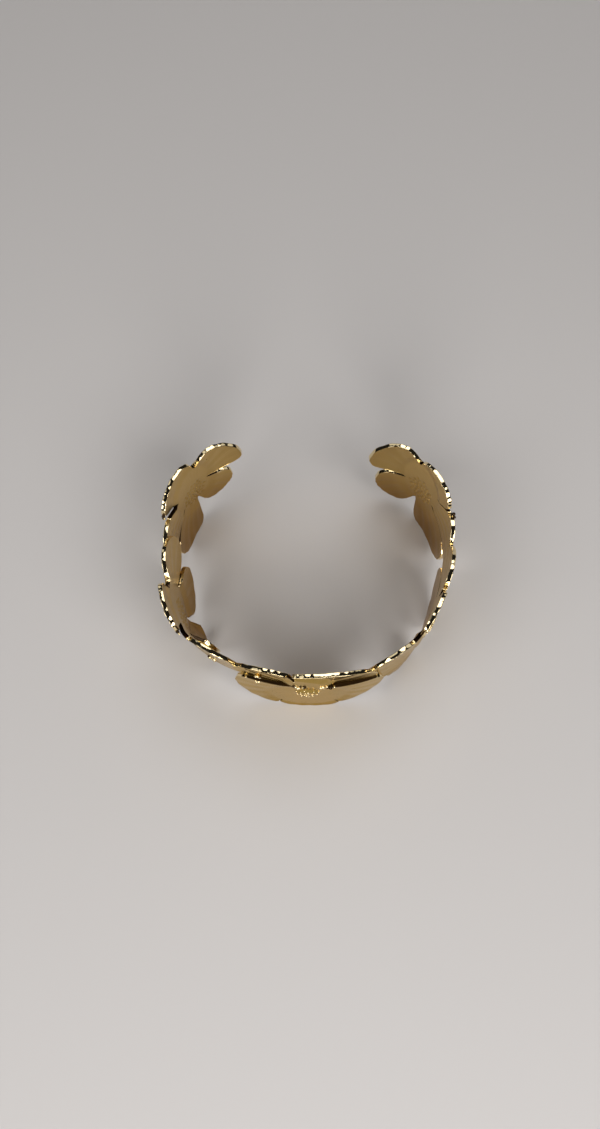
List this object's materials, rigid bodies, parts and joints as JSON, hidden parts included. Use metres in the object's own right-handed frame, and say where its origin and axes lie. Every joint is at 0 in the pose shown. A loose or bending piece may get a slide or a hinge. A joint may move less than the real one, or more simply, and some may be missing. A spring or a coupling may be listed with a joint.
{
  "type": "cuff bangle",
  "caption": "Open cuff bangle of overlapping broad-petalled flowers in polished gold-coloured metal, with raised granular middles and a gap at the back to pass the wrist through.",
  "frame": {"origin": "on the surface it stands on, under the middle of the band's bounding box", "axes": "+Z along the wrist, from the petals it stands on to the upper rim; +Y towards the open gap; the middle flower faces -Y; +X to the right when the middle flower is seen from outside"},
  "size_m": [0.0644, 0.0572, 0.0253],
  "materials": {
    "gold_metal": "polished on the outside and on the cut edges, satin on the inside"
  },
  "bodies": {
    "root": {"flower_cuff": "gold_metal"}
  },
  "joints": []
}
